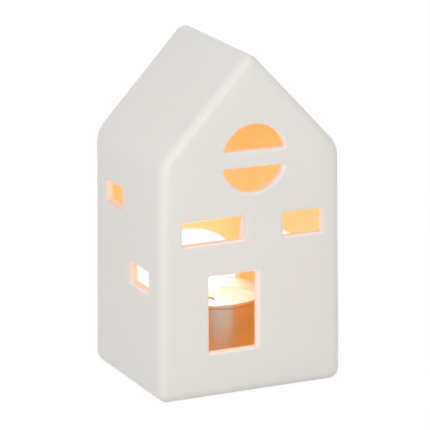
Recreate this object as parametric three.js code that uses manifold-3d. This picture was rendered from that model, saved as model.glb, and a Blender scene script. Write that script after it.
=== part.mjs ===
// A small house of white glazed ceramic with a tealight burning inside.
// Millimetres, +Z up. The front wall, with the door and the round gable window, faces -Y.
// The origin is on the table, under the middle of the house.
// The house is one hollow casting. The tealight slides in along Y through an arch in the back wall.

import * as THREE from 'three';
import { mergeVertices } from 'three/addons/utils/BufferGeometryUtils.js';
import Module from 'manifold-3d';

const wasm = await Module();
wasm.setup();

// House body
const baseWidth = 72;
const eaveWidth = 70;
const houseDepth = 59.4;
const eaveHeight = 87.5; // where wall and roof planes would meet, without the rounding
const ridgeHeight = 125.1; // where the two roof planes would meet, without the rounding
const wallThickness = 3.6;
const floorThickness = 4.5;
const edgeRadius = 3.4; // edges all round the front wall and the back wall
const gableCornerRadius = 0.6; // foot and ridge corners of the flat part of the front and back walls
const eaveCornerRadius = 11; // where the side walls bend over into the roof
const innerEdgeRadius = 2.2;
const innerCornerRadius = 0.6;
const footWidth = 5;
const baseRecess = 0.8;

// Openings
const openingCornerRadius = 0.7;
const openingSoftening = 0.6; // rounding that the glaze leaves on the outer edge of an opening
const doorX = -7.55;
const doorSill = 17.1;
const doorWidth = 18.8;
const doorHeight = 28.3;
const wideWindowX = -15.1;
const wideWindowSill = 57.3;
const wideWindowWidth = 24.5;
const wideWindowHeight = 8.7;
const smallWindowX = 20;
const smallWindowSill = 56.6;
const smallWindowWidth = 16.3;
const smallWindowHeight = 8.8;
const roundWindowX = 1;
const roundWindowZ = 86.4;
const roundWindowRadius = 12.3;
const roundWindowBar = 5.7; // height of the bar that splits the round window into two half moons
const sideWindowWidth = 17.3;
const sideWindowHeight = 8.1;
const upperSideWindowX = -11.8; // to the left of the wall's middle, seen from outside
const upperSideWindowSill = 63.4;
const lowerSideWindowX = 11.1;
const lowerSideWindowSill = 38.3;
const archTop = 46.4;
const archRise = 17.2; // height of the half oval that tops the arch
const archClearance = 2.35; // beside the widest part of the tealight

// Tealight
const tealightX = 0;
const tealightY = 2.6;
const cupDiameter = 38; // over the rolled lip
const cupHeight = 24.3;
const cupSheet = 0.45;
const lipRadius = 0.6;
const cupDraft = 0.35; // the cup is narrower by this much at its foot, on each side
const cupFootRadius = 1.4;
const cupBossRadius = 8;
const cupBossHeight = 0.7;
const waxBelowRim = 3.6;
const waxDish = 0.7; // the pool in the middle lies this much lower than the edge of the wax
const tabRadius = 5.3;
const tabThickness = 0.35;
const tabNeckHeight = 4;
const tabNeckWall = 0.4;
const wickRadius = 0.4;
const wickX = -2.6; // the tab and the wick stand a little off the cup's middle
const wickY = 0.4;
const wickReach = 1.9; // the curl's top above the pool
const wickCurlWidth = 2.8;
const wickTipHeight = 0.7; // the curl's tip above the pool
const wickTurn = -25; // degrees about +Z, the direction in which the wick curls over
const gap = 0.3; // between pieces that lie on or inside each other

// Finishes
const glaze = { color: 0xf1ede6, roughness: 0.22, metalness: 0 };
const aluminium = { color: 0xc9c8c6, roughness: 0.32, metalness: 1 };
const wax = { color: 0xf8f0dc, roughness: 0.45, metalness: 0 };
const tinnedSteel = { color: 0xa9a8a5, roughness: 0.4, metalness: 1 };
const charredCotton = { color: 0x4a2e1c, roughness: 0.95, metalness: 0 };

// Facets. Along an arc, a path lays two chords for each step
const cornerSteps = 3;
const edgeSteps = 5;
const softeningSteps = 2;
const curveSteps = 14; // the top of the arch
const moonSteps = 10;
const profileSteps = 3;
const latheSteps = 48;
const wickSteps = 24;
const wickSides = 10;

// Outlines, counter-clockwise lists of points

// Rounds every corner, by one radius for all of them or by a list with a radius for each
function roundedOutline(corners, radii) {
  const shape = new THREE.Shape();
  corners.forEach((corner, i) => {
    const radius = radii[i] ?? radii;
    const before = corners.at(i - 1).clone().sub(corner).normalize();
    const after = corners[(i + 1) % corners.length].clone().sub(corner).normalize();
    const halfAngle = Math.acos(before.dot(after)) / 2;
    const toCentre = before.clone().add(after).setLength(radius / Math.sin(halfAngle));
    const centre = corner.clone().add(toCentre);
    const sweep = Math.PI / 2 - halfAngle;
    const middle = toCentre.angle() + Math.PI;
    shape.absarc(centre.x, centre.y, radius, middle - sweep, middle + sweep, false);
  });
  return withoutRepeats(shape.getPoints(cornerSteps));
}

function withoutRepeats(points) {
  return points.filter((p, i) => p.distanceTo(points.at(i - 1)) > 1e-6);
}

// Moves every point of an outline outwards, so that each side moves by the same distance
function grown(outline, distance) {
  return outline.map((point, i) => {
    const along = point.clone().sub(outline.at(i - 1)).normalize();
    const next = outline[(i + 1) % outline.length].clone().sub(point).normalize();
    const normal = new THREE.Vector2(along.y + next.y, -along.x - next.x).normalize();
    const stretch = normal.x * along.y - normal.y * along.x;
    return point.clone().addScaledVector(normal, distance / stretch);
  });
}

// The house seen from the front: its walls lean in by the draft, and the roof has two equal slopes
function houseCorners(inset, bottom) {
  const slope = (ridgeHeight - eaveHeight) / (eaveWidth / 2);
  const draft = (baseWidth - eaveWidth) / 2 / eaveHeight;
  const wallAt = (z) => baseWidth / 2 - draft * z - inset * Math.hypot(1, draft);
  const ridge = ridgeHeight - inset * Math.hypot(1, slope);
  const eave = (ridge - slope * wallAt(0)) / (1 - slope * draft);
  return [
    new THREE.Vector2(-wallAt(bottom), bottom),
    new THREE.Vector2(wallAt(bottom), bottom),
    new THREE.Vector2(wallAt(eave), eave),
    new THREE.Vector2(0, ridge),
    new THREE.Vector2(-wallAt(eave), eave),
  ];
}

// The radii that go with the house's corners: foot, foot, eave, ridge, eave
function houseRadii(radius, eaveRadius) {
  return [radius, radius, eaveRadius, radius, eaveRadius];
}

function windowOutline(x, sill, width, height) {
  const left = x - width / 2;
  const right = x + width / 2;
  const corners = [
    new THREE.Vector2(left, sill),
    new THREE.Vector2(right, sill),
    new THREE.Vector2(right, sill + height),
    new THREE.Vector2(left, sill + height),
  ];
  return roundedOutline(corners, openingCornerRadius);
}

function archOutline(x, bottom, width, top, rise) {
  const halfWidth = width / 2;
  const shape = new THREE.Shape();
  shape.moveTo(x - halfWidth, bottom);
  shape.lineTo(x + halfWidth, bottom);
  shape.absellipse(x, top - rise, halfWidth, rise, 0, Math.PI, false, 0);
  return withoutRepeats(shape.getPoints(curveSteps));
}

// One half of the round window, above the bar (side 1) or below it (side -1)
function halfMoonOutline(side) {
  const r = openingCornerRadius;
  const barEdge = roundWindowBar / 2;
  const tipAngle = Math.asin((barEdge + r) / (roundWindowRadius - r));
  const tipX = (roundWindowRadius - r) * Math.cos(tipAngle);
  const shape = new THREE.Shape();
  shape.absarc(tipX, barEdge + r, r, -Math.PI / 2, tipAngle, false);
  shape.absarc(0, 0, roundWindowRadius, tipAngle, Math.PI - tipAngle, false);
  shape.absarc(-tipX, barEdge + r, r, Math.PI - tipAngle, 1.5 * Math.PI, false);
  const points = withoutRepeats(shape.getPoints(moonSteps));
  return points.map((p) => new THREE.Vector2(roundWindowX + side * p.x, roundWindowZ + side * p.y));
}

// Solids from outlines

// A closed solid through outlines with equal counts of points, each at its own depth along +Z
function loft(sections) {
  const count = sections[0].outline.length;
  const positions = sections.flatMap(({ outline, depth }) => outline.flatMap((p) => [p.x, p.y, depth]));
  const index = [];
  for (let ring = 0; ring < sections.length - 1; ring += 1) {
    for (let i = 0; i < count; i += 1) {
      const a = ring * count + i;
      const b = ring * count + ((i + 1) % count);
      index.push(a, b, b + count, a, b + count, a + count);
    }
  }
  const top = (sections.length - 1) * count;
  THREE.ShapeUtils.triangulateShape(sections[0].outline, []).forEach(([a, b, c]) => {
    index.push(c, b, a);
  });
  THREE.ShapeUtils.triangulateShape(sections.at(-1).outline, []).forEach(([a, b, c]) => {
    index.push(top + a, top + b, top + c);
  });
  const geometry = new THREE.BufferGeometry();
  geometry.setAttribute('position', new THREE.Float32BufferAttribute(positions, 3));
  geometry.setIndex(index);
  return geometry;
}

// A prism along Z with its two end faces rounded into its sides
function pillow(outline, length, radius) {
  const sections = [];
  for (let i = 0; i <= edgeSteps; i += 1) {
    const angle = (i / edgeSteps) * (Math.PI / 2);
    const outlineHere = grown(outline, radius * (Math.sin(angle) - 1));
    const fromMiddle = length / 2 - radius * (1 - Math.cos(angle));
    sections.push({ outline: outlineHere, depth: fromMiddle });
  }
  const back = sections.map(({ outline: o, depth }) => ({ outline: o, depth: -depth }));
  return loft([...back, ...sections.reverse()]);
}

// The tool that cuts an opening through a wall: straight through, and flared at the outer face
function openingCutter(outline, face) {
  const sections = [{ outline, depth: face - wallThickness - innerEdgeRadius }];
  for (let i = 0; i <= softeningSteps; i += 1) {
    const angle = (i / softeningSteps) * (Math.PI / 2);
    const flare = openingSoftening * (1 - Math.cos(angle));
    sections.push({ outline: grown(outline, flare), depth: face - openingSoftening * (1 - Math.sin(angle)) });
  }
  sections.push({ outline: grown(outline, openingSoftening), depth: face + 2 });
  return loft(sections);
}

// Stands a drawing up, so that it is seen from outside the wall that faces the given azimuth
const FRONT = 0;
const RIGHT = Math.PI / 2;
const BACK = Math.PI;
const LEFT = -Math.PI / 2;

function facing(geometry, azimuth) {
  return geometry.rotateX(Math.PI / 2).rotateZ(azimuth);
}

function toSolid(geometry) {
  const bare = geometry.clone();
  bare.deleteAttribute('normal');
  bare.deleteAttribute('uv');
  const merged = mergeVertices(bare, 1e-5);
  return new wasm.Manifold(new wasm.Mesh({
    numProp: 3,
    vertProperties: Float32Array.from(merged.attributes.position.array),
    triVerts: Uint32Array.from(merged.index.array),
  }));
}

function toGeometry(solid) {
  const mesh = solid.getMesh();
  const geometry = new THREE.BufferGeometry();
  geometry.setAttribute('position', new THREE.BufferAttribute(Float32Array.from(mesh.vertProperties), 3));
  geometry.setIndex(new THREE.BufferAttribute(Uint32Array.from(mesh.triVerts), 1));
  geometry.computeVertexNormals();
  return geometry;
}

function makePiece(name, geometry, finish) {
  const mesh = new THREE.Mesh(geometry, new THREE.MeshStandardMaterial(finish));
  mesh.name = name;
  return mesh;
}

// House: one hollow ceramic casting

function halfWidthAt(z) {
  return baseWidth / 2 - ((baseWidth - eaveWidth) / 2) * (z / eaveHeight);
}

function makeHouseShell() {
  const outerRadii = houseRadii(edgeRadius + gableCornerRadius, eaveCornerRadius);
  const outerOutline = roundedOutline(houseCorners(0, 0), outerRadii);
  const outer = facing(pillow(outerOutline, houseDepth, edgeRadius), FRONT);

  const innerRadii = houseRadii(innerEdgeRadius + innerCornerRadius, eaveCornerRadius - wallThickness);
  const innerOutline = roundedOutline(houseCorners(wallThickness, floorThickness), innerRadii);
  const inner = facing(pillow(innerOutline, houseDepth - 2 * wallThickness, innerEdgeRadius), FRONT);

  const frontFace = houseDepth / 2;
  const frontOpenings = [
    windowOutline(doorX, doorSill, doorWidth, doorHeight),
    windowOutline(wideWindowX, wideWindowSill, wideWindowWidth, wideWindowHeight),
    windowOutline(smallWindowX, smallWindowSill, smallWindowWidth, smallWindowHeight),
    halfMoonOutline(1),
    halfMoonOutline(-1),
  ];
  const cutters = frontOpenings.map((outline) => facing(openingCutter(outline, frontFace), FRONT));

  const sideOpenings = [
    { x: upperSideWindowX, sill: upperSideWindowSill },
    { x: lowerSideWindowX, sill: lowerSideWindowSill },
  ];
  for (const { x, sill } of sideOpenings) {
    const outline = windowOutline(x, sill, sideWindowWidth, sideWindowHeight);
    const face = halfWidthAt(sill + sideWindowHeight / 2);
    cutters.push(facing(openingCutter(outline, face), LEFT));
    cutters.push(facing(openingCutter(outline, face), RIGHT));
  }

  const archWidth = cupDiameter + 2 * archClearance;
  const arch = archOutline(-tealightX, floorThickness, archWidth, archTop, archRise);
  cutters.push(facing(openingCutter(arch, frontFace), BACK));

  cutters.push(makeBaseRecess());
  const casting = cutters.reduce((solid, cutter) => solid.subtract(toSolid(cutter)), toSolid(outer));
  return makePiece('house_shell', toGeometry(casting.subtract(toSolid(inner))), glaze);
}

// A shallow hollow under the floor leaves a flat foot all round to stand on
function makeBaseRecess() {
  const flatWidth = baseWidth - 2 * (edgeRadius + gableCornerRadius);
  const flatDepth = houseDepth - 2 * edgeRadius;
  const width = flatWidth - 2 * footWidth;
  const depth = flatDepth - 2 * footWidth;
  const corners = [
    new THREE.Vector2(-width / 2, -depth / 2),
    new THREE.Vector2(width / 2, -depth / 2),
    new THREE.Vector2(width / 2, depth / 2),
    new THREE.Vector2(-width / 2, depth / 2),
  ];
  const outline = roundedOutline(corners, footWidth);
  return loft([
    { outline: grown(outline, baseRecess), depth: -baseRecess },
    { outline: grown(outline, -baseRecess), depth: baseRecess },
  ]);
}

// Tealight: a pressed aluminium cup of wax with a wick on a steel tab

const cupLipCentre = cupDiameter / 2 - lipRadius;
const cupOuterRadius = cupLipCentre - cupSheet / 4;
const waxSurface = cupHeight - waxBelowRim; // at the edge of the wax, above the cup's foot
const pool = waxSurface - waxDish;
const bossTop = cupBossHeight + cupSheet;

function revolve(path, steps = latheSteps) {
  const points = path.getPoints(profileSteps).filter((p, i, all) => i === 0 || p.distanceTo(all[i - 1]) > 1e-6);
  return new THREE.LatheGeometry(points, steps).rotateX(Math.PI / 2);
}

function cupRadiusAt(z) {
  return cupOuterRadius - cupDraft * (1 - z / cupHeight);
}

function makeCup() {
  const lipZ = cupHeight - lipRadius;
  const foot = cupRadiusAt(0);
  const bossFoot = cupBossRadius + cupBossHeight;
  const innerFootRadius = cupFootRadius - cupSheet;
  const profile = new THREE.Path();
  profile.moveTo(0, cupBossHeight);
  profile.lineTo(cupBossRadius, cupBossHeight);
  profile.lineTo(bossFoot, 0);
  profile.absarc(foot - cupFootRadius, cupFootRadius, cupFootRadius, -Math.PI / 2, 0, false);
  profile.lineTo(cupRadiusAt(lipZ), lipZ - lipRadius);
  profile.absarc(cupLipCentre, lipZ, lipRadius, -Math.PI / 2, Math.PI, false);
  profile.lineTo(cupRadiusAt(lipZ) - cupSheet, lipZ - lipRadius);
  profile.lineTo(foot - cupSheet, cupFootRadius);
  profile.absarc(foot - cupFootRadius, cupFootRadius, innerFootRadius, 0, -Math.PI / 2, true);
  profile.lineTo(bossFoot, cupSheet);
  profile.lineTo(cupBossRadius, bossTop);
  profile.lineTo(0, bossTop);
  return makePiece('tealight_cup', revolve(profile), aluminium);
}

// The tab's foot, the top of its disc and the top of its neck
const tabFoot = bossTop + gap;
const tabTop = tabFoot + tabThickness;
const neckTop = tabTop + tabNeckHeight;
const neckRadius = wickRadius + gap + tabNeckWall;

// The wax fills the cup round the tab and the wick, and its surface dips to a pool in the middle
function makeWax() {
  const floor = cupSheet + gap;
  const side = cupRadiusAt(cupFootRadius) - cupSheet - gap;
  const edge = cupRadiusAt(waxSurface) - cupSheet - gap;
  const filling = new THREE.Path();
  filling.moveTo(0, tabFoot);
  filling.lineTo(cupBossRadius + gap, tabFoot);
  filling.lineTo(cupBossRadius + cupBossHeight + gap, floor);
  filling.lineTo(side - cupFootRadius, floor);
  filling.lineTo(side, floor + cupFootRadius);
  filling.lineTo(edge, waxSurface);
  filling.quadraticCurveTo(edge * 0.6, pool, 0, pool);

  const hollow = new THREE.Path();
  hollow.moveTo(0, 0);
  hollow.lineTo(tabRadius + gap, 0);
  hollow.lineTo(tabRadius + gap, tabTop + gap);
  hollow.lineTo(neckRadius + gap, tabTop + gap);
  hollow.lineTo(neckRadius + gap, neckTop + gap);
  hollow.lineTo(wickRadius + gap, neckTop + gap);
  hollow.lineTo(wickRadius + gap, cupHeight);
  hollow.lineTo(0, cupHeight);
  const tool = revolve(hollow, latheSteps / 2).translate(wickX, wickY, 0);
  return makePiece('tealight_wax', toGeometry(toSolid(revolve(filling)).subtract(toSolid(tool))), wax);
}

function makeWickTab() {
  const bore = wickRadius + gap;
  const profile = new THREE.Path();
  profile.moveTo(0, tabFoot);
  profile.lineTo(tabRadius, tabFoot);
  profile.lineTo(tabRadius, tabTop);
  profile.lineTo(neckRadius, tabTop);
  profile.lineTo(neckRadius, neckTop);
  profile.lineTo(bore, neckTop);
  profile.lineTo(bore, tabTop);
  profile.lineTo(0, tabTop);
  const geometry = revolve(profile, latheSteps / 2).translate(wickX, wickY, 0);
  return makePiece('wick_tab', geometry, tinnedSteel);
}

// The wick stands in the tab's neck and curls over above the pool
function makeWick() {
  const along = (x, z) => new THREE.Vector3(x, 0, z);
  const surface = along(0, pool);
  const tip = along(wickCurlWidth, pool + wickTipHeight);
  const pull = pool + wickReach * 4 / 3;
  const path = new THREE.CurvePath();
  path.add(new THREE.LineCurve3(along(0, tabTop + gap), surface));
  path.add(new THREE.CubicBezierCurve3(surface, along(0, pull), along(tip.x, pull), tip));
  const section = new THREE.Shape();
  section.absarc(0, 0, wickRadius, 0, 2 * Math.PI, false);
  const geometry = new THREE.ExtrudeGeometry(section, {
    extrudePath: path,
    steps: wickSteps,
    curveSegments: wickSides / 2,
    bevelEnabled: false,
  });
  geometry.rotateZ(THREE.MathUtils.degToRad(wickTurn)).translate(wickX, wickY, 0);
  return makePiece('wick', geometry, charredCotton);
}

function makeTealight() {
  const tealight = new THREE.Group();
  tealight.add(makeCup(), makeWax(), makeWickTab(), makeWick());
  tealight.position.set(tealightX, tealightY, floorThickness + gap);
  return tealight;
}

const model = new THREE.Group();
model.add(makeHouseShell(), makeTealight());

export default model;
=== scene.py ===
# %% [markdown]
# # A white ceramic house with a tealight burning inside
#
# This file dresses a finished CAD model in Blender, one step at a time.
# The object is a hollow house of white glazed ceramic. A tealight stands in it, and its light
# comes out of the door, the windows and the round window in the gable.
# The CAD model is loaded first and never moves. Blender works in metres with +Z up, and the
# front wall of the house faces -Y.

# %% Load the CAD model
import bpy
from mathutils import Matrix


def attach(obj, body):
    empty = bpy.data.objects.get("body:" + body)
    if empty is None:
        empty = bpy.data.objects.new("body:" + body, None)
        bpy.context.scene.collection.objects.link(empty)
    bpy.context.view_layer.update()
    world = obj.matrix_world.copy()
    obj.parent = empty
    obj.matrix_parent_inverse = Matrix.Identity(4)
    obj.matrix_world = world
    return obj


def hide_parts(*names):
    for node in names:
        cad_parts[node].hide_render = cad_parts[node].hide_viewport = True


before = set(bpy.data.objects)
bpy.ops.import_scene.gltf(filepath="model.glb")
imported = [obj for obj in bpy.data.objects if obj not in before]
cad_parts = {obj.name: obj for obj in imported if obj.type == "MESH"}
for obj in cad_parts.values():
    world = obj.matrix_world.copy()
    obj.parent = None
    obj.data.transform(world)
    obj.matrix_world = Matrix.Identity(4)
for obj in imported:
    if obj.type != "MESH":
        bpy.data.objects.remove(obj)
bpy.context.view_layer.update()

# %% [markdown]
# ## Helpers that every piece uses
#
# A shape is worked out with numpy as a grid of points, and only then becomes a Blender mesh.
# All shapes are written in millimetres, because that is how such a house is measured, and one
# helper turns them into metres. Another keeps a number on each face or point of a piece, so that
# its finish can read it. Each piece is joined to the body that it moves with straight away.

# %% Helpers: unit vectors, new pieces and marks
import bpy
import numpy as np
from mathutils import Matrix

MM = 0.001


def unit(vectors):
    """Each vector divided by its own length."""
    return vectors / np.linalg.norm(vectors, axis=-1, keepdims=True)


def new_object(name, vertices, faces):
    """A smooth-shaded mesh object at the origin, from points in millimetres."""
    mesh = bpy.data.meshes.new(name)
    mesh.from_pydata((np.asarray(vertices) * MM).tolist(), [], faces)
    mesh.polygons.foreach_set("use_smooth", np.ones(len(mesh.polygons), bool))
    mesh.update()
    piece = bpy.data.objects.new(name, mesh)
    bpy.context.scene.collection.objects.link(piece)
    return piece


def quads_between(rows, columns):
    """Faces of a grid of points whose columns close round.

    Each face joins a point, its neighbour beside it, and the two points above them.
    """
    i, j = np.meshgrid(np.arange(rows - 1), np.arange(columns), indexing="ij")
    here, beside = i * columns + j, i * columns + (j + 1) % columns
    return np.stack([here, beside, beside + columns, here + columns], -1).reshape(-1, 4)


def mark(piece, name, domain, values):
    """Keeps a number on each face or point of a piece, under a name that its finish reads."""
    piece.data.attributes.new(name, "FLOAT", domain).data.foreach_set("value", values)


def report(piece):
    """Prints a piece's name, its triangles with modifiers, and its box in millimetres."""
    evaluated = piece.evaluated_get(bpy.context.evaluated_depsgraph_get())
    corners = np.array(evaluated.bound_box) / MM
    evaluated.to_mesh().calc_loop_triangles()
    count = len(evaluated.data.loop_triangles)
    print(piece.name, count, "triangles, box", corners.min(0).round(2), corners.max(0).round(2))


# %% [markdown]
# ## The camera
#
# The photograph was taken from the left of the front wall and a little above the roof's foot.
# The vertical edges hardly lean towards each other, so the lens was long and the camera far off.
# The camera looks at a point near the middle of the house, and `back` points from there to it.

# %% Camera
picture_width, focal_length = 430, 3500  # in pixels
turn, lift, roll = np.radians([-24.775, 15.596, -0.222])
distance = 1265.4 * MM
aim_sideways, aim_height = -0.530, 58.44  # in mm
aim = MM * np.array([aim_sideways * np.cos(turn), aim_sideways * np.sin(turn), aim_height])

back = np.array([np.sin(turn) * np.cos(lift), -np.cos(turn) * np.cos(lift), np.sin(lift)])
level = np.array([np.cos(turn), np.sin(turn), 0])
upward = np.cross(back, level)
right = np.cos(roll) * level + np.sin(roll) * upward
up = np.cos(roll) * upward - np.sin(roll) * level
place = aim + distance * back

camera_data = bpy.data.cameras.new("camera")
camera_data.sensor_width = 36
camera_data.lens = focal_length * camera_data.sensor_width / picture_width
camera_data.clip_start, camera_data.clip_end = 0.1, 20
camera = bpy.data.objects.new("camera", camera_data)
bpy.context.scene.collection.objects.link(camera)
turned = np.eye(4)
turned[:3] = np.stack([right, up, back, place], 1)
camera.matrix_world = Matrix(turned.tolist())
bpy.context.scene.camera = camera
print("lens", round(camera_data.lens, 1), "mm, camera at", place.round(3))

# %% [markdown]
# ## The house: outlines
#
# The house is one hollow casting. Seen from the front it has five corners, and liquid clay and
# glaze leave no corner sharp. So each flat drawing starts as corners, and every corner is
# replaced by an arc. The walls lean in a little, as a casting needs to leave its mould.

# %% Sizes of the house, in millimetres
base_width, eave_width, house_depth = 72, 70, 59.4
eave_height, ridge_height = 87.5, 125.1
wall, floor_level = 3.6, 4.5
edge_radius, corner_radius, eave_radius = 3.4, 4.0, 11
inner_edge_radius, inner_corner_radius = 4.5, 5
slope = (ridge_height - eave_height) / (eave_width / 2)
draft = (base_width - eave_width) / 2 / eave_height


# %% Outlines with rounded corners
def rounded(corners, radius, steps):
    """A counter-clockwise outline in which each corner is an arc that touches both its sides.

    The arc's centre is on the corner's bisector, at radius / sin(half the corner's angle).
    There is one radius for all the corners, or a list of one for each.
    """
    corners = np.asarray(corners, float)
    radius = np.ones(len(corners)) * radius
    to_last = unit(np.roll(corners, 1, 0) - corners)
    to_next = unit(np.roll(corners, -1, 0) - corners)
    half = np.arccos((to_last * to_next).sum(1)) / 2
    inward = unit(to_last + to_next) * (radius / np.sin(half))[:, None]
    middle = np.arctan2(-inward[:, 1], -inward[:, 0])
    angle = middle[:, None] + (np.pi / 2 - half)[:, None] * np.linspace(-1, 1, steps + 1)
    circle = np.stack([np.cos(angle), np.sin(angle)], -1)
    arcs = (corners + inward)[:, None] + radius[:, None, None] * circle
    return arcs.reshape(-1, 2)


def grown(outline, distance):
    """The outline with every side moved outwards by distance.

    A point moves along the bisector of its two sides' normals, by
    distance / cos(half their angle).
    """
    before = unit(outline - np.roll(outline, 1, 0))
    after = unit(np.roll(outline, -1, 0) - outline)
    normal = unit(np.stack([before[:, 1] + after[:, 1], -before[:, 0] - after[:, 0]], -1))
    share = normal[:, 0] * before[:, 1] - normal[:, 1] * before[:, 0]
    return outline + normal * (distance / share)[:, None]


def wall_at(z, inset=0):
    """Distance from the middle of the house to the side wall at height z."""
    return base_width / 2 - draft * z - inset * np.hypot(1, draft)


def house_corners(inset, bottom):
    """The five corners of the house from the front, with walls and roof moved in by inset."""
    ridge = ridge_height - inset * np.hypot(1, slope)
    eave = (ridge - slope * wall_at(0, inset)) / (1 - slope * draft)
    foot, top = wall_at(bottom, inset), wall_at(eave, inset)
    return [(-foot, bottom), (foot, bottom), (top, eave), (0, ridge), (-top, eave)]


def house_radii(radius, at_eave):
    """Radii that go with the five corners: foot, foot, eave, ridge, eave."""
    return np.array([radius, radius, at_eave, radius, at_eave])


outer_outline = rounded(house_corners(0, 0), house_radii(corner_radius, eave_radius), 14)
inner_radii = house_radii(inner_corner_radius, eave_radius - wall)
inner_outline = rounded(house_corners(wall, floor_level), inner_radii, 10)
print("outline points:", len(outer_outline), "outside,", len(inner_outline), "inside")

# %% [markdown]
# ## The house: outside and inside
#
# A drawing becomes a solid when it is carried along the depth of the house. To round the edges of
# the front and back walls, the outline shrinks near each end along a quarter circle. The same
# function makes the outside and the hollow inside. A Bevel modifier could round a sharp block,
# but a computed profile gives the same radius all round, also where the roof meets the wall.


# %% Carry an outline along a depth
def loft(outlines, depths):
    """Points and faces of a solid through outlines of equal counts, with a face at each end."""
    outlines = np.asarray(outlines)
    rows, columns = outlines.shape[:2]
    deep = np.broadcast_to(np.asarray(depths, float).reshape(rows, -1), (rows, columns))
    points = np.concatenate([outlines, deep[..., None]], -1).reshape(-1, 3)
    first, last = np.arange(columns)[::-1], np.arange(columns) + (rows - 1) * columns
    return points, quads_between(rows, columns).tolist() + [first.tolist(), last.tolist()]


def pillow(outline, length, radius, steps=12):
    """A prism whose ends are rounded by a quarter circle.

    At angle a, the inset is radius * (1 - sin a) and the depth is
    length / 2 - radius * (1 - cos a).
    """
    a = np.linspace(0, np.pi / 2, steps + 1)
    inset = np.concatenate([radius * (np.sin(a) - 1), radius * (np.sin(a[::-1]) - 1)])
    half = length / 2 - radius * (1 - np.cos(a))
    return loft([grown(outline, d) for d in inset], np.concatenate([-half, half[::-1]]))


def standing(points, azimuth=0):
    """A drawing laid flat, stood up on the wall that faces the azimuth.

    The front faces 0 degrees, the right wall 90, the back 180 and the left wall -90.
    """
    x, y, z = points[:, 0], -points[:, 2], points[:, 1]
    c, s = np.cos(np.radians(azimuth)), np.sin(np.radians(azimuth))
    return np.stack([c * x - s * y, s * x + c * y, z], -1)


points, faces = pillow(outer_outline, house_depth, edge_radius)
house = new_object("ceramic_house", standing(points), faces)
points, faces = pillow(inner_outline, house_depth - 2 * wall, inner_edge_radius, steps=8)
hollow = new_object("hollow", standing(points), faces)
report(house)

# %% [markdown]
# ## The house: door, windows and arch
#
# The openings are cut while the clay is soft. Glaze then flows over each cut and leaves a small
# round edge on both faces of the wall. Each opening is cut with a tool of its own: a loft that is
# wider at the two faces, by a quarter circle. The tools for the side walls lean with the wall.
# A knife held by hand goes through the wall a little askew, so some windows have another
# outline on the inside, and the bar of the round window isn't quite level.

# %% Tools that cut the openings
softening, inner_softening = 1.2, 0.8  # radius that the glaze leaves on a cut edge, in mm
last_angle = np.radians(84)  # the quarter circle stops short, so that it crosses the face cleanly
past_inside, past_outside = 0.4, 2  # how far a tool reaches beyond the wall and its rounding
window_corner = 0.7
moon_height, moon_radius, moon_tip = 86.4, 12.3, 0.7
bar_tilt = np.radians(-0.9)


def opening_tool(outline, face, lean=0, inner=None):
    """A cutter: radius * (1 - cos a) wider at radius * (1 - sin a) below each face of the wall.

    The opening may have another outline at the inner face of the wall.
    """
    inner = outline if inner is None else inner
    a = np.linspace(0, last_angle, 7)
    flare_in = inner_softening * (1 - np.cos(a[::-1]))
    flare_out = softening * (1 - np.cos(a))
    near = face - wall + inner_softening * (1 - np.sin(a[::-1]))
    far = face - softening * (1 - np.sin(a))
    start, end = face - wall - inner_edge_radius - past_inside, face + past_outside
    depths = np.concatenate([[start], near, far, [end]])
    outlines = [grown(inner, f) for f in (flare_in[0], *flare_in)]
    outlines = np.array(outlines + [grown(outline, f) for f in (*flare_out, flare_out[-1])])
    middle = (outline[:, 1].min() + outline[:, 1].max()) / 2
    return loft(outlines, depths[:, None] - lean * (outlines[..., 1] - middle))


def window(x, sill, width, height, slant=0):
    """Outline of a window with small round corners.

    A slant moves the lower right corner to the left.
    """
    left, right, top = x - width / 2, x + width / 2, sill + height
    corners = [(left, sill), (right - slant, sill), (right, top), (left, top)]
    return rounded(corners, window_corner, 6)


def half_moon(side):
    """Half of the round window, above its bar (side 1) or below it (side -1), with round tips.

    The two halves aren't quite alike: each has its own middle and its own distance from there
    to its straight edge.
    """
    centre, edge = np.array([1.25 + 0.15 * side, moon_height]), 3.17 - 0.08 * side
    radius, tip = moon_radius, moon_tip
    t = np.arcsin((edge + tip) / (radius - tip))
    across = (radius - tip) * np.cos(t)
    small = np.linspace(-np.pi / 2, t, 8)[:-1]
    large = np.linspace(t, np.pi - t, 49)
    right_tip = np.stack([across + tip * np.cos(small), edge + tip + tip * np.sin(small)], -1)
    arc = radius * np.stack([np.cos(large), np.sin(large)], -1)
    left_tip = (right_tip * [-1, 1])[::-1]
    c, s = np.cos(bar_tilt), np.sin(bar_tilt)
    return centre + side * np.concatenate([right_tip, arc, left_tip]) @ [[c, s], [-s, c]]


def arch(bottom, half_width, top, rise):
    """A doorway in the middle of the wall, whose top is half an oval of the given rise."""
    t = np.linspace(0, np.pi, 61)
    curve = np.stack([half_width * np.cos(t), top - rise + rise * np.sin(t)], -1)
    return np.concatenate([[(-half_width, bottom), (half_width, bottom)], curve])


# %% Place and cut size of each opening
front_openings = {  # each window by its middle, its sill, its width and its height
    "door": window(-7.0, 16.7, 19.0, 28.25),
    "wide_window": window(-14.7, 57.1, 24.3, 8.6),
    "small_window": window(20.3, 56.3, 15.4, 8.75),
    "upper_half_moon": half_moon(1),
    "lower_half_moon": half_moon(-1),
}
side_openings = {
    "upper_side": window(-12.2, 63.2, 15.7, 8.0),
    "lower_side": window(10.2, 38.3, 17.3, 7.75),
}
inner_outlines = {
    "wide_window": window(-14.75, 57.1, 24.2, 8.6, slant=1.2),
    "upper_side": window(-12.1, 64.0, 15.7, 7.2),
    "lower_side": window(10.4, 38.7, 17.3, 7.35),
}
arch_half_width, arch_top, arch_rise = 21, 46.4, 17.2
back_opening = arch(floor_level + 0.01, arch_half_width, arch_top, arch_rise)

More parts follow.
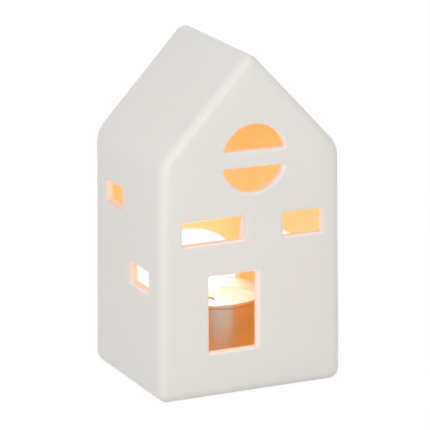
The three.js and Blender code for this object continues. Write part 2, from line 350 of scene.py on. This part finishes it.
tools = [hollow]
for name, outline in front_openings.items():
    points, faces = opening_tool(outline, house_depth / 2, inner=inner_outlines.get(name))
    tools.append(new_object(name, standing(points), faces))
for name, outline in side_openings.items():
    face = wall_at(outline[:, 1].mean())
    points, faces = opening_tool(outline, face, lean=draft, inner=inner_outlines.get(name))
    for azimuth in (-90, 90):
        tools.append(new_object(f"{name}_{azimuth}", standing(points, azimuth), faces))
points, faces = opening_tool(back_opening, house_depth / 2)
tools.append(new_object("arch", standing(points, 180), faces))
print(len(tools), "tools")

# %% [markdown]
# ## The house: the foot
#
# The foot of the house is a flat ring, and the floor inside it is a little higher, so that the
# house doesn't rock. A shallow tool with sloping sides cuts that recess.

# %% Recess under the floor
foot_width, recess, recess_corner = 5, 0.8, 5
half_x = base_width / 2 - corner_radius - foot_width
half_y = house_depth / 2 - edge_radius - foot_width
corners = [(-half_x, -half_y), (half_x, -half_y), (half_x, half_y), (-half_x, half_y)]
recess_outline = rounded(corners, recess_corner, 10)
below, above = grown(recess_outline, recess), grown(recess_outline, -recess)
points, faces = loft([below, above], [-recess, recess])
tools.append(new_object("recess", points, faces))

# %% [markdown]
# ## The house: cutting
#
# One Boolean modifier per tool takes the openings out of the solid, and the result is kept as the
# new mesh. The large flat walls and the small round edges then share their corners, so a Weighted
# Normal modifier lets the large faces decide the shading there. Without it, a wall would look
# dented next to every window.


# %% Cut the openings
def keep_result(piece):
    """Replaces a piece's mesh by what its modifiers make of it, and removes the modifiers."""
    evaluated = piece.evaluated_get(bpy.context.evaluated_depsgraph_get())
    made = bpy.data.meshes.new_from_object(evaluated)
    piece.modifiers.clear()
    piece.data = made


for tool in tools:
    cut = house.modifiers.new(tool.name, "BOOLEAN")
    cut.object, cut.operation, cut.solver = tool, "DIFFERENCE", "EXACT"
keep_result(house)
for tool in tools:
    bpy.data.objects.remove(tool)
house.data.set_sharp_from_angle(angle=np.radians(35))
weighted = house.modifiers.new("flat walls", "WEIGHTED_NORMAL")
weighted.mode, weighted.weight, weighted.keep_sharp = "FACE_AREA", 80, True

# %% [markdown]
# ## The house: marks for the glaze
#
# The glaze doesn't look the same everywhere. The small room is full of orange light, and it
# shines through the thin glaze on the cut edges. The finish paints this light into the glaze's
# colour and glow, so every face carries three numbers from 0 to 1, worked out from its middle and
# its normal: `inside` is 1 in the room and less on the side windows' and the arch's cuts, and
# says how much painted orange light a face takes, `rim` is 1 on the outer part of the door's and
# the windows' cuts, where a painted warm tint stands for the light that comes through, and
# `edge_light` is 1 where the cuts near the front are brightest: on the door's whole cut and on
# the windows' sills.


# %% Mark the faces of the room inside
def face_vectors(mesh, which):
    """The middles or the normals of all faces, as one row of three numbers each."""
    numbers = np.empty(3 * len(mesh.polygons))
    mesh.polygons.foreach_get(which, numbers)
    return numbers.reshape(-1, 3)


slack = 0.1  # how far a face's middle may be from the surface that it belongs to, in mm
x, y, z = face_vectors(house.data, "center").T / MM
normals = abs(face_vectors(house.data, "normal"))
under_roof = z < ridge_height - wall * np.hypot(1, slope) - slope * abs(x) + slack
in_walls = (abs(x) < wall_at(z, wall) + slack) & (abs(y) < house_depth / 2 - wall + slack)
inside = in_walls & (z > floor_level - slack) & under_roof
print(int(inside.sum()), "of", len(inside), "faces are inside")


# %% Mark the cut edges
def ramp(value, start, end):
    """0 at the start, 1 at the end, and a straight line between them."""
    return np.clip((value - start) / (end - start), 0, 1)


def edge_share(depth, end):
    """1 below the outer face of a wall, and 0 at the face itself and from the end on."""
    return ramp(depth, 0, 0.4) * ramp(depth, end, end - 0.8)


def around(outlines, across):
    """Which faces outside the room are round one of the openings, in its wall's drawing."""
    found = np.zeros(len(z), bool)
    for outline in outlines:
        low, high = outline.min(0) - reach, outline.max(0) + reach
        found |= (across > low[0]) & (across < high[0]) & (z > low[1]) & (z < high[1])
    return found & ~inside


reach = softening + slack
flat = 0.999  # a face of a flat wall has at least this share of its normal across the wall
nowhere = 999  # a place that is near no opening
rim_end, door_end = 1.6, 3.2  # how deep the marks on the cut edges reach, in mm
side_share, arch_share = 0.35, 0.5  # how much of the room's orange these cuts take
front_depth, back_depth = y + house_depth / 2, house_depth / 2 - y
side_depth = wall_at(z) - abs(x)
front = (y < 0) & (normals[:, 1] < flat)
sides = (abs(x) > wall_at(z, wall) - slack) & (normals[:, 0] < flat)
behind = (back_depth < wall + slack / 2) & (normals[:, 1] < flat) & (z > floor_level - 2 * slack)

square = [front_openings[name] for name in ("door", "wide_window", "small_window")]
front_cuts = around(square, np.where(front, x, nowhere))
door_cuts = around(square[:1], np.where(front, x, nowhere))
side_cuts = around(side_openings.values(), np.where(sides, np.sign(x) * y, nowhere))
in_arch = (abs(x) < arch_half_width + reach) & (z < arch_top + reach)
back_cuts = behind & in_arch & ~inside

rim_depth = np.where(side_cuts, side_depth, front_depth)
rim = edge_share(rim_depth, rim_end) * (front_cuts | side_cuts)
# How much of the room's painted orange light and glow each face takes.
warm = inside + side_share * ramp(side_depth, 0.6, 1.6) * side_cuts
warm += arch_share * ramp(back_depth, 0.4, 1.4) * back_cuts
sills = rim * front * (normals[:, 2] > 0.5)
edge_light = np.where(door_cuts, edge_share(front_depth, door_end), sills)
mark(house, "edge_light", "FACE", edge_light)
mark(house, "inside", "FACE", warm)
mark(house, "rim", "FACE", rim)
print(int((rim > 0).sum()), "faces are on cut edges")
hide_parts("house_shell")
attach(house, "house")
report(house)

# %% [markdown]
# ## The tealight's cup
#
# A tealight is pressed from thin aluminium sheet and has a rolled lip, so it is a shape of
# revolution: a profile turned about the cup's own axis. Handling leaves the thin lip slightly
# out of round, so the radius varies a little round the cup, and there is a small dent in front.
# The inner wall gets a mark, which carries a painted glow for the bright wax that shines in it.

# %% Shapes of revolution
tealight = np.array([0, 2.6, 4.8])  # the middle of the cup's foot, in mm
cup_height, wall_radius, lip_reach, lip_radius, sheet = 24.3, 18.2, 19, 0.6, 0.3
lip_z = cup_height - lip_radius


def arc(centre, radius, start, end, steps):
    """Points on a circle, from the start angle to the end angle in degrees."""
    t = np.radians(np.linspace(start, end, steps + 1))
    return np.asarray(centre) + radius * np.stack([np.cos(t), np.sin(t)], -1)


def turned_surface(profile, steps, change=None):
    """A profile of (radius, height) turned about the tealight's axis, with both its ends closed.

    Point (i, j) is (r cos t, r sin t, z), with r and z from profile point i and
    t = 2 pi j / steps. A change function may move r and z, and gets them as whole arrays
    together with t.
    """
    t = np.linspace(0, 2 * np.pi, steps, endpoint=False)
    r, z = np.repeat(profile[:, :1], steps, 1), np.repeat(profile[:, 1:], steps, 1)
    if change:
        r, z = change(r, z, np.broadcast_to(t, r.shape))
    points = np.stack([r * np.cos(t), r * np.sin(t), z], -1).reshape(-1, 3) + tealight
    first, last = np.arange(steps)[::-1], np.arange(steps) + (len(profile) - 1) * steps
    return points, quads_between(len(profile), steps).tolist() + [first.tolist(), last.tolist()]


# %% Cup
foot_narrower, lip_flare, flare_height = 0.35, 0.5, 1.1
dent_angle, dent_width = np.radians([268, 5])  # where the dent is, and how far it spreads
dent_in, dent_down = 0.12, 0.14


def cup_radius(z):
    """Outer radius of the cup's wall, which widens slightly, and bends out under the lip."""
    flare = lip_flare * np.exp(-(lip_z - z) / flare_height)
    return wall_radius - foot_narrower * (1 - z / cup_height) + flare


def dented(r, z, t):
    """Out of round by up to 0.12 mm towards the lip, with one dent in the lip at the front."""
    high = np.clip(z / cup_height, 0, 1) ** 2
    waves = 0.07 * np.sin(3 * t + 0.8) + 0.05 * np.sin(5 * t + 2.1)
    dent = np.exp(-((t - dent_angle) / dent_width) ** 2)
    rim = np.clip((z - cup_height + 3) / 3, 0, 1)
    wall_share = np.clip((r - 10) / 8, 0, 1)
    pushed = wall_share * (waves * high - dent_in * dent * rim)
    return r + pushed, z - dent_down * dent * rim * wall_share


foot, bend, cup_steps = cup_radius(0), 1.4, 240
outer_z, inner_z = np.linspace(2, lip_z - 0.6, 30), np.linspace(lip_z - 1, 2, 24)
outside = np.concatenate([  # the foot is pressed in by 0.7 mm inside a ring
    [(0.05, 0.7), (7.7, 0.7)],
    arc((7.7, 0.2), 0.5, 90, 45, 4),
    [(8.65, 0.05)],
    arc((foot - bend, bend), bend, -90, 0, 8),
    np.stack([cup_radius(outer_z), outer_z], -1),
    arc((lip_reach - lip_radius, lip_z), lip_radius, -45, 180, 20),
])
inner_wall = np.stack([cup_radius(inner_z) - sheet, inner_z], -1)
inner_foot = np.concatenate([
    arc((foot - bend, bend), bend - sheet, 0, -90, 8),
    [(8.65, 0.05 + sheet), (7.9, 0.7 + sheet), (0.05, 0.7 + sheet)],
])
points, faces = turned_surface(np.concatenate([outside, inner_wall, inner_foot]), cup_steps, dented)
cup = new_object("tealight_cup_pressed", points, faces)
on_inner_wall = np.repeat([0, 1, 0], [len(outside), len(inner_wall), len(inner_foot)])
mark(cup, "inner_wall", "POINT", np.repeat(on_inner_wall, cup_steps).astype(float))
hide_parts("tealight_cup")
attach(cup, "tealight")
report(cup)

# %% [markdown]
# ## The wax
#
# The wax fills the cup to a few millimetres below the lip. While the candle burns, the top is a
# molten pool: it stands a little higher where it wets the aluminium and the wick, and it is
# lowest in between. The wax is again a turned profile, with the small rise at the wick added.

# %% Wax
wick_foot = np.array([-2.6, 0.4])  # from the cup's axis, in mm
wax_top, pool, gap = 20.7, 20.0, 0.12
wax_radius = cup_radius(wax_top) - sheet - gap


def wetted(r, z, t):
    """Lifts the surface next to the wick by 0.35 mm * exp(-distance / 1.1 mm)."""
    away = np.hypot(r * np.cos(t) - wick_foot[0], r * np.sin(t) - wick_foot[1])
    return r, np.where(z > pool - 0.5, z + 0.35 * np.exp(-away / 1.1), z)


surface_r = np.linspace(wax_radius, 0.05, 60)
at_wall = np.exp(-(wax_radius - surface_r) / 0.9)
surface_z = pool + (wax_top - pool) * at_wall + 0.1 * (surface_r / wax_radius) ** 2
side_z = np.linspace(3, wax_top - 0.2, 20)
wax_profile = np.concatenate([
    [(0.05, 1.5), (8.3, 1.5), (9.0, 0.8)],
    arc((foot - 2.0, 2.2), 1.4, -90, 0, 6),
    np.stack([cup_radius(side_z) - sheet - gap, side_z], -1),
    np.stack([surface_r, surface_z], -1),
])
points, faces = turned_surface(wax_profile, 160, wetted)
wax = new_object("candle_wax_filling", points, faces)
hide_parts("tealight_wax")
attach(wax, "tealight")
report(wax)

# %% [markdown]
# ## The wick
#
# The wick is a thin braid of cotton that stands in the wax and curls over as it burns. It is a
# tube along a smooth path. Its radius has two sets of ridges that run round it in opposite
# directions, as in a braid, and it narrows towards the burnt tip.

# %% Path of the wick
path_corners = np.array([  # sideways and up, in mm
    [0, 12], [0, 18], [0, 20.6], [0.15, 21.4], [0.9, 22.05], [1.9, 21.9], [2.55, 21.3],
    [2.75, 20.75],
])
stretches = np.linalg.norm(np.diff(path_corners, axis=0), axis=1)
length_along = np.concatenate([[0], np.cumsum(stretches)])
even = np.linspace(0, length_along[-1], 140)
path = np.stack([np.interp(even, length_along, path_corners[:, k]) for k in (0, 1)], -1)
smoothing = 17  # points over which a corner is smoothed
kernel = np.hanning(smoothing) / np.hanning(smoothing).sum()
extra = smoothing // 2
padded = np.concatenate([np.repeat(path[:1], extra, 0), path, np.repeat(path[-1:], extra, 0)])
path = np.stack([np.convolve(padded[:, k], kernel, mode="valid") for k in (0, 1)], -1)
print("the wick's path is", round(float(length_along[-1]), 1), "mm long")

# %% Braid along the path
wick_radius, wick_sides = 0.4, 24
ridge, twist = 0.09, 5.5  # the ridges' height as a share, and their turn in radians per mm
heading = np.radians(-25)  # the direction in which the wick curls over
sideways = np.array([np.cos(heading), np.sin(heading), 0])
across = np.array([-np.sin(heading), np.cos(heading), 0])
middles = np.array([*wick_foot, 0]) + path[:, :1] * sideways + path[:, 1:] * np.array([0, 0, 1])
along = unit(np.gradient(middles, axis=0))
normal = np.cross(across, along)
t = np.linspace(0, 2 * np.pi, wick_sides, endpoint=False)
s = even[:, None]
braid = 1 + ridge * np.cos(3 * t + twist * s) * np.cos(3 * t - twist * s)
whole = even[-1]
taper = np.interp(even, [0, whole * 0.7, whole * 0.97, whole], [1, 1, 0.72, 0.3])[:, None]
radius = wick_radius * braid * taper
ring = np.cos(t)[None, :, None] * across + np.sin(t)[None, :, None] * normal[:, None]
points = (middles[:, None] + radius[..., None] * ring).reshape(-1, 3) + tealight
faces = quads_between(len(even), wick_sides)[:, ::-1].tolist()
first = np.arange(wick_sides)
faces += [first.tolist(), (first + (len(even) - 1) * wick_sides)[::-1].tolist()]
wick = new_object("wick_braid", points, faces)
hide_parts("wick")
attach(wick, "tealight")
report(wick)

# %% [markdown]
# ## The flame
#
# A flame has no surface: it is brightest inside and fades at its edge and at its foot. Here it is
# a set of drop-shaped shells inside each other, each partly see-through, so the glow builds up
# towards the middle from any side. A mark on the points says how much each place glows.

# %% Flame
flame_height, flame_width = 22.0, 7.6
shells = np.array([1.0, 0.86, 0.72, 0.58])  # width of each shell as a share of the first
rise = np.linspace(0.0, 1.0, 40)
steps = 48
shape = np.sin(np.pi * rise ** 0.62) ** 0.8 * (1 - 0.35 * rise)
shape = np.clip(shape / shape.max(), 0.004, None)
t = np.linspace(0, 2 * np.pi, steps, endpoint=False)
r = flame_width / 2 * shells[:, None, None] * shape[None, :, None] * np.ones(steps)
drawn_in = 0.6 + 0.4 * shells[:, None]
height = flame_height * (0.5 + (rise - 0.5) * drawn_in)[..., None] * np.ones(steps)
flame_foot = tealight + [wick_foot[0] + 1.0, wick_foot[1] - 0.5, pool + 0.9]
points = np.stack([r * np.cos(t), r * np.sin(t), height], -1) + flame_foot
count = len(rise) * steps
shell = quads_between(len(rise), steps)
faces = np.concatenate([shell + k * count for k in range(len(shells))]).tolist()
flame = new_object("candle_flame", points.reshape(-1, 3), faces)
above_foot = np.clip((rise - 0.02) / 0.3, 0, 1)
further_in = 0.35 + 0.6 * (1 - shells) / (1 - shells[-1])
glow = np.broadcast_to(above_foot[None, :, None] * further_in[:, None, None], r.shape)
mark(flame, "glow", "POINT", glow.ravel())
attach(flame, "tealight")
flame.visible_shadow = False
report(flame)

# %% [markdown]
# ## Finishes
#
# Every finish is a tree of shader nodes that reads the piece's own coordinates or its marks.
# Small helpers make the nodes that come back in every tree: a Principled shader, a pattern in
# millimetres, a colour between two colours, and a bump.


# %% Helpers for finishes
def new_finish(name, **values):
    """A node material whose Principled shader has the given plain values."""
    material = bpy.data.materials.new(name)
    material.use_nodes = True
    shader = material.node_tree.nodes["Principled BSDF"]
    for key, value in values.items():
        shader.inputs[key.replace("_", " ")].default_value = value
    return material, material.node_tree, shader


def feed(tree, shader, **outputs):
    """Joins other nodes' outputs to the shader's inputs of the given names."""
    for key, output in outputs.items():
        tree.links.new(output, shader.inputs[key.replace("_", " ")])


def dress(piece, material):
    """Gives a piece its finish, and prints how many nodes the finish has."""
    piece.data.materials.clear()
    piece.data.materials.append(material)
    print(piece.name, "wears", material.name, "of", len(material.node_tree.nodes), "nodes")


def own_place(tree):
    """The place on the piece, in its own coordinates."""
    return tree.nodes.new("ShaderNodeTexCoord").outputs["Object"]


def marked(tree, name):
    """The number that the faces or points carry under the name."""
    node = tree.nodes.new("ShaderNodeAttribute")
    node.attribute_name = name
    return node.outputs["Fac"]


def maths(tree, operation, *values):
    """One step of arithmetic. Each value is a number or another node's output."""
    node = tree.nodes.new("ShaderNodeMath")
    node.operation = operation
    for socket, value in zip(node.inputs, values):
        if isinstance(value, (int, float)):
            socket.default_value = value
        else:
            tree.links.new(value, socket)
    return node.outputs[0]


def noise(tree, size_mm, detail=2.0, stretch=(1, 1, 1)):
    """A noise pattern whose blotches are about size_mm wide on the piece."""
    mapping = tree.nodes.new("ShaderNodeMapping")
    pattern = tree.nodes.new("ShaderNodeTexNoise")
    mapping.inputs["Scale"].default_value = stretch
    pattern.inputs["Scale"].default_value = 1 / (size_mm * MM)
    pattern.inputs["Detail"].default_value = detail
    tree.links.new(own_place(tree), mapping.inputs["Vector"])
    tree.links.new(mapping.outputs["Vector"], pattern.inputs["Vector"])
    return pattern.outputs["Fac"]


def spread(tree, value, low, high, start=0.3, end=0.7):
    """Maps a pattern's start..end onto low..high."""
    node = tree.nodes.new("ShaderNodeMapRange")
    for key, number in (("From Min", start), ("From Max", end), ("To Min", low), ("To Max", high)):
        node.inputs[key].default_value = number
    tree.links.new(value, node.inputs["Value"])
    return node.outputs["Result"]


def blend(tree, share, first, second):
    """A colour from the first to the second, by a share from 0 to 1.

    Each colour is three numbers or another node's output.
    """
    node = tree.nodes.new("ShaderNodeMix")
    node.data_type = "RGBA"
    tree.links.new(share, node.inputs["Factor"])
    for socket, colour in ((node.inputs[6], first), (node.inputs[7], second)):
        if isinstance(colour, tuple):
            socket.default_value = (*colour, 1)
        else:
            tree.links.new(colour, socket)
    return node.outputs[2]


def bump(tree, value, depth_mm, before=None):
    """A bump of the given depth, on top of an earlier bump if there is one."""
    node = tree.nodes.new("ShaderNodeBump")
    node.inputs["Distance"].default_value = depth_mm * MM
    tree.links.new(value, node.inputs["Height"])
    if before:
        tree.links.new(before, node.inputs["Normal"])
    return node.outputs["Normal"]


# %% [markdown]
# ## White glaze: soft shoulders
#
# Glaze draws back from an edge while it melts, so each wall begins to turn a few millimetres
# before the edge itself. Remodelling the walls for so little isn't worth it. A computed bump
# tilts the surface instead, more and more towards each edge.

# %% Soft shoulders
def shoulders(tree, width_mm):
    """A height: the sum over the house's outer planes of exp(-depth below the plane / width)."""
    folded = tree.nodes.new("ShaderNodeVectorMath")
    folded.operation = "ABSOLUTE"
    tree.links.new(own_place(tree), folded.inputs[0])
    side, roof = unit(np.array([1, 0, draft])), unit(np.array([slope, 0, 1]))
    planes = [
        (side, side[0] * base_width / 2), (roof, roof[2] * ridge_height),
        ((0, 1, 0), house_depth / 2), ((0, 0, -1), 0),
    ]
    total = 0.0
    for direction, offset in planes:
        along = tree.nodes.new("ShaderNodeVectorMath")
        along.operation = "DOT_PRODUCT"
        along.inputs[1].default_value = tuple(float(c) for c in direction)
        tree.links.new(folded.outputs[0], along.inputs[0])
        scale, shift = 1 / (width_mm * MM), -float(offset) / width_mm
        above = maths(tree, "MULTIPLY_ADD", along.outputs["Value"], scale, shift)
        total = maths(tree, "ADD", maths(tree, "EXPONENT", above), total)
    return total


# %% [markdown]
# ## White glaze
#
# The glaze is a warm white glass over pale clay. It is smooth, so it has a clear soft sheen, but
# never quite flat: it flows into slow waves and has a fine orange-peel skin. So the finish has
# two small bumps on top of the shoulders, a thin coat and a little subsurface scattering.
# The marks then paint light into the colour: a warmer white on the cut edges is painted light
# from the room that comes through them, and a straw colour in the room is its orange light
# painted on the white glaze. Light that goes round and round in a small room takes a render very
# long to follow, so the room also has an even painted orange glow of its own, and the brightest
# cut edges have a painted white one.

# %% White glaze
glaze, tree, shader = new_finish(
    "white_glaze", IOR=1.5, Coat_Weight=0.3, Coat_Roughness=0.14,
    Subsurface_Weight=0.5, Subsurface_Scale=2.2 * MM, Subsurface_Radius=(1.0, 0.55, 0.4),
)
room_glow, cut_glow = 0.25, 0.13
shoulder_width, shoulder_height = 4.0, -0.8  # in mm, and the surface falls towards an edge
wall_white = blend(tree, noise(tree, 25, 0.0), (0.826, 0.802, 0.762), (0.841, 0.816, 0.777))
# A painted warm tint on the cut edges, for the room's light that comes through the thin glaze.
painted_cut_warmth = blend(tree, noise(tree, 6, 1.0), (0.80, 0.73, 0.65), (0.82, 0.75, 0.68))
# A painted straw colour in the room, for its orange light on the white glaze.
painted_room_orange = blend(tree, noise(tree, 12, 1.0), (0.78, 0.68, 0.51), (0.81, 0.71, 0.54))
white = blend(tree, marked(tree, "rim"), wall_white, painted_cut_warmth)
room_light_share, on_cut = marked(tree, "inside"), marked(tree, "edge_light")
from_room = maths(tree, "MULTIPLY", room_light_share, room_glow)
soft = bump(tree, shoulders(tree, shoulder_width), shoulder_height)
waves = bump(tree, noise(tree, 20, 0.0), 0.04, soft)
feed(
    tree, shader,
    Base_Color=blend(tree, room_light_share, white, painted_room_orange),
    Roughness=spread(tree, noise(tree, 12, 0.0), 0.33, 0.40, 0, 1),
    Emission_Strength=maths(tree, "MULTIPLY_ADD", on_cut, cut_glow, from_room),
    Emission_Color=blend(
        tree, spread(tree, on_cut, 0, 1, 0, 0.1), (1.0, 0.42, 0.04), (1.0, 1.0, 1.0)
    ),
    Normal=bump(tree, noise(tree, 2.2, 0.0), 0.002, waves),
)
dress(house, glaze)

# %% [markdown]
# ## Aluminium
#
# The cup is drawn from sheet. Drawing leaves faint lines round it, and they spread a highlight
# sideways, which the anisotropy does here. The sheet is made lighter towards its foot, and it has
# shallow wrinkles. The inner wall has a faint painted glow, for the light of the wax that it
# reflects.

# %% Aluminium
aluminium, tree, shader = new_finish(
    "cup_aluminium", Metallic=1.0, Anisotropic=0.7, Anisotropic_Rotation=0.25,
    Emission_Color=(1.0, 0.66, 0.36, 1),
)
foot_end, top_start = 8 * MM, 20 * MM  # heights between which the tone changes
drawn = blend(tree, noise(tree, 5, 0.0), (0.595, 0.56, 0.49), (0.645, 0.61, 0.53))
# The sheet's tone is lighter towards the foot.
lighter_low_tone = blend(tree, noise(tree, 5, 0.0), (0.78, 0.74, 0.64), (0.82, 0.78, 0.68))
axes = tree.nodes.new("ShaderNodeSeparateXYZ")
tree.links.new(own_place(tree), axes.inputs[0])
low = spread(tree, axes.outputs["Z"], 1, 0, foot_end, top_start)
wrinkles = bump(tree, noise(tree, 9, 0.0), 0.06)
feed(
    tree, shader,
    Base_Color=blend(tree, low, drawn, lighter_low_tone),
    Roughness=spread(tree, noise(tree, 4, 0.0), 0.48, 0.54, 0, 1),
    # A painted glow on the inner wall, for the light of the wax that it reflects.
    Emission_Strength=maths(tree, "MULTIPLY", marked(tree, "inner_wall"), 0.22),
    Normal=bump(tree, noise(tree, 3, 0.0, (1, 1, 8)), 0.004, wrinkles),
)
dress(cup, aluminium)

# %% [markdown]
# ## Wax
#
# Wax is pale and light goes deep into it. The flame stands on it, so it shines through the wax
# round the wick and less further out. A glow that falls with the distance from the wick shows
# this. The pool is molten, so its skin is smooth and wet.

# %% Wax
def near_wick(tree, near_mm, far_mm):
    """1 at the wick, falling to 0 at the far distance from it."""
    away = tree.nodes.new("ShaderNodeVectorMath")
    away.operation = "DISTANCE"
    away.inputs[1].default_value = ((tealight + [*wick_foot, pool]) * MM).tolist()
    tree.links.new(own_place(tree), away.inputs[0])
    return spread(tree, away.outputs["Value"], 1, 0, near_mm * MM, far_mm * MM)


wax_finish, tree, shader = new_finish(
    "candle_wax", Roughness=0.22, IOR=1.44, Coat_Weight=0.5, Coat_Roughness=0.05,
    Subsurface_Weight=0.6, Subsurface_Scale=3 * MM, Subsurface_Radius=(1.0, 0.8, 0.5),
    Emission_Strength=0.6,
)
feed(
    tree, shader,
    Base_Color=blend(tree, noise(tree, 6, 1.0), (0.90, 0.83, 0.75), (0.93, 0.86, 0.79)),
    Emission_Color=blend(tree, near_wick(tree, 5, 20), (0.7, 0.4, 0.34), (1.0, 0.9, 1.0)),
    Normal=bump(tree, noise(tree, 5, 1.0), 0.03),
)
dress(wax, wax_finish)

# %% [markdown]
# ## Steel and cotton
#
# The tab under the wick is plain tinned steel, and it is the CAD piece itself with a finish. The
# cotton is dark and dry where it has burnt, and it still glows a little.

# %% Steel tab
steel, tree, shader = new_finish("tab_steel", Metallic=1.0, Roughness=0.4)
feed(
    tree, shader,
    Base_Color=blend(tree, noise(tree, 2), (0.60, 0.60, 0.59), (0.70, 0.70, 0.69)),
    Normal=bump(tree, noise(tree, 0.8), 0.01),
)
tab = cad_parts["wick_tab"]
dress(tab, steel)

# %% Cotton
cotton, tree, shader = new_finish("wick_cotton", Roughness=0.9, Emission_Strength=0.15)
feed(
    tree, shader,
    Base_Color=blend(tree, noise(tree, 0.4), (0.09, 0.035, 0.012), (0.17, 0.075, 0.026)),
    Emission_Color=blend(tree, noise(tree, 0.6), (0.5, 0.16, 0.03), (0.8, 0.28, 0.06)),
    Normal=bump(tree, noise(tree, 0.25), 0.05),
)
dress(wick, cotton)

# %% [markdown]
# ## Flame colours
#
# The flame only gives light. Its shader has an alpha and a glow, both from the mark on the
# shells: the foot is clear and orange, the body is nearly white.

# %% Flame finish
burning, tree, shader = new_finish(
    "flame_glow", Base_Color=(0, 0, 0, 1), Roughness=1.0, Specular_IOR_Level=0.0,
    Emission_Strength=1.6,
)
amount = marked(tree, "glow")
hot = blend(tree, amount, (1.0, 0.75, 0.45), (1.0, 1.0, 1.0))
feed(tree, shader, Alpha=amount, Emission_Color=hot)
dress(flame, burning)

# %% [markdown]
# ## Light from the flame
#
# Glowing shells light a room poorly in a render, so small lamps stand in the flame and move with
# the tealight. In the photograph the flame's light is deep orange on the glaze and pale on the
# bare metal, so there are two lamps of different colours, and light linking gives each its own
# pieces.

# %% Flame lamps
lamp_height, lamp_radius, lamp_strength = 13, 3, 0.034  # mm above the flame's foot, mm, W


def receivers(name, lit):
    """The pieces that a lamp lights, as a collection for its light linking."""
    group = bpy.data.collections.new("lit_by_" + name)
    for piece in lit:
        group.objects.link(piece)
    return group


def flame_lamp(name, colour, lit):
    """A small round lamp in the flame, which rides on the tealight and lights some pieces."""
    data = bpy.data.lights.new(name, "POINT")
    data.shadow_soft_size, data.energy, data.color = lamp_radius * MM, lamp_strength, colour
    lamp = bpy.data.objects.new(name, data)
    bpy.context.scene.collection.objects.link(lamp)
    lamp.location = ((flame_foot + [0, 0, lamp_height]) * MM).tolist()
    lamp.light_linking.receiver_collection = receivers(name, lit)
    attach(lamp, "tealight")
    print(name, "at", np.round(lamp.location, 4))


flame_lamp("flame_lamp", (1.0, 0.26, 0.2), (house, wick, tab))
flame_lamp("cup_lamp", (0.85, 1, 0.92), (cup,))

# %% [markdown]
# ## Studio
#
# The photograph has an even white background and soft light from the front left. The floor is a
# large sheet that takes the shadow of the house. To the camera it shines nearly white, so the
# shadow is faint. The light that it throws back on the house is that of plain grey paper.

# %% Floor
floor_half, floor_z = 2000, -0.05  # in mm, just below the foot of the house
corners = floor_half * np.array([(-1, -1, 0), (1, -1, 0), (1, 1, 0), (-1, 1, 0)])
floor = new_object("studio_floor", corners + [0, 0, floor_z], [(0, 1, 2, 3)])
sheet_finish = bpy.data.materials.new("white_sheet")
sheet_finish.use_nodes = True
tree = sheet_finish.node_tree
tree.nodes.clear()


def seen_rays(tree):
    """1 for camera, glossy and transmission rays, 0 for light on its way to other surfaces."""
    path = tree.nodes.new("ShaderNodeLightPath")
    larger = maths(tree, "MAXIMUM", path.outputs["Is Camera Ray"], path.outputs["Is Glossy Ray"])
    return maths(tree, "MAXIMUM", larger, path.outputs["Is Transmission Ray"])


def split(tree, unseen, seen, output):
    """Sends one shader to the output for the rays that are seen, and another for the rest."""
    mixed = tree.nodes.new("ShaderNodeMixShader")
    tree.links.new(seen_rays(tree), mixed.inputs["Fac"])
    tree.links.new(unseen, mixed.inputs[1])
    tree.links.new(seen, mixed.inputs[2])
    tree.links.new(mixed.outputs[0], tree.nodes.new(output).inputs["Surface"])


def matt(tree, value):
    """A matt grey surface."""
    node = tree.nodes.new("ShaderNodeBsdfDiffuse")
    node.inputs["Color"].default_value = (value, value, value, 1)
    return node.outputs[0]


plain, seen = tree.nodes.new("ShaderNodeEmission"), tree.nodes.new("ShaderNodeAddShader")
plain.inputs["Color"].default_value = (0.87, 0.87, 0.87, 1)
tree.links.new(plain.outputs[0], seen.inputs[0])
tree.links.new(matt(tree, 0.2), seen.inputs[1])
split(tree, matt(tree, 0.7), seen.outputs[0], "ShaderNodeOutputMaterial")
dress(floor, sheet_finish)

# %% [markdown]
# The world is plain white where it is seen. As a light it is dimmer and a little blue, so it
# fills the shadows softly, and most of the light can come from the lamps.

# %% World
world = bpy.data.worlds.new("studio")
bpy.context.scene.world = world
world.use_nodes = True
tree = world.node_tree
tree.nodes.clear()


def background(tree, colour, strength):
    """An even light from all around."""
    node = tree.nodes.new("ShaderNodeBackground")
    node.inputs["Color"].default_value = (*colour, 1)
    node.inputs["Strength"].default_value = strength
    return node.outputs[0]


ambient = background(tree, (0.981, 0.996, 1.0), 0.655)
split(tree, ambient, background(tree, (1, 1, 1), 1.0), "ShaderNodeOutputWorld")

# %% [markdown]
# Two softboxes stand at the front left. The large one lights everything evenly. The near one
# lights only the house and the floor. It shows in the glaze, where it gives the rounded edges
# their soft sheen.


# %% Softboxes
def softbox(name, azimuth, elevation, away, size, watts, colour, lit=None):
    """A square area lamp that looks at the middle of the house.

    Without a list of what it lights, it lights everything but doesn't show in reflections.
    """
    data = bpy.data.lights.new(name, "AREA")
    data.size, data.energy, data.color = size, watts, colour
    box = bpy.data.objects.new(name, data)
    box.visible_glossy = lit is not None
    if lit:
        box.light_linking.receiver_collection = receivers(name, lit)
    bpy.context.scene.collection.objects.link(box)
    a, e = np.radians([azimuth, elevation])
    outward = np.array([np.sin(a) * np.cos(e), -np.cos(a) * np.cos(e), np.sin(e)])
    side = unit(np.cross([0, 0, 1], outward))
    house_middle = [0, 0, 0.06]
    turned = np.eye(4)
    turned[:3] = np.stack(
        [side, np.cross(outward, side), outward, house_middle + away * outward], 1
    )
    box.matrix_world = Matrix(turned.tolist())
    print(name, "stands at", turned[:3, 3].round(2))


daylight = (0.996, 1.0, 1.0)
softbox("key", -37, 14, away=0.75, size=0.8, watts=1.61, colour=daylight)
softbox(
    "near_box", -28, 14, away=0.6, size=0.4, watts=0.62, colour=daylight, lit=(house, floor)
)

# %% [markdown]
# ## Last steps
#
# The view transform is Standard, so that a colour comes out as it was written.

# %% View transform
bpy.context.scene.view_settings.view_transform = "Standard"
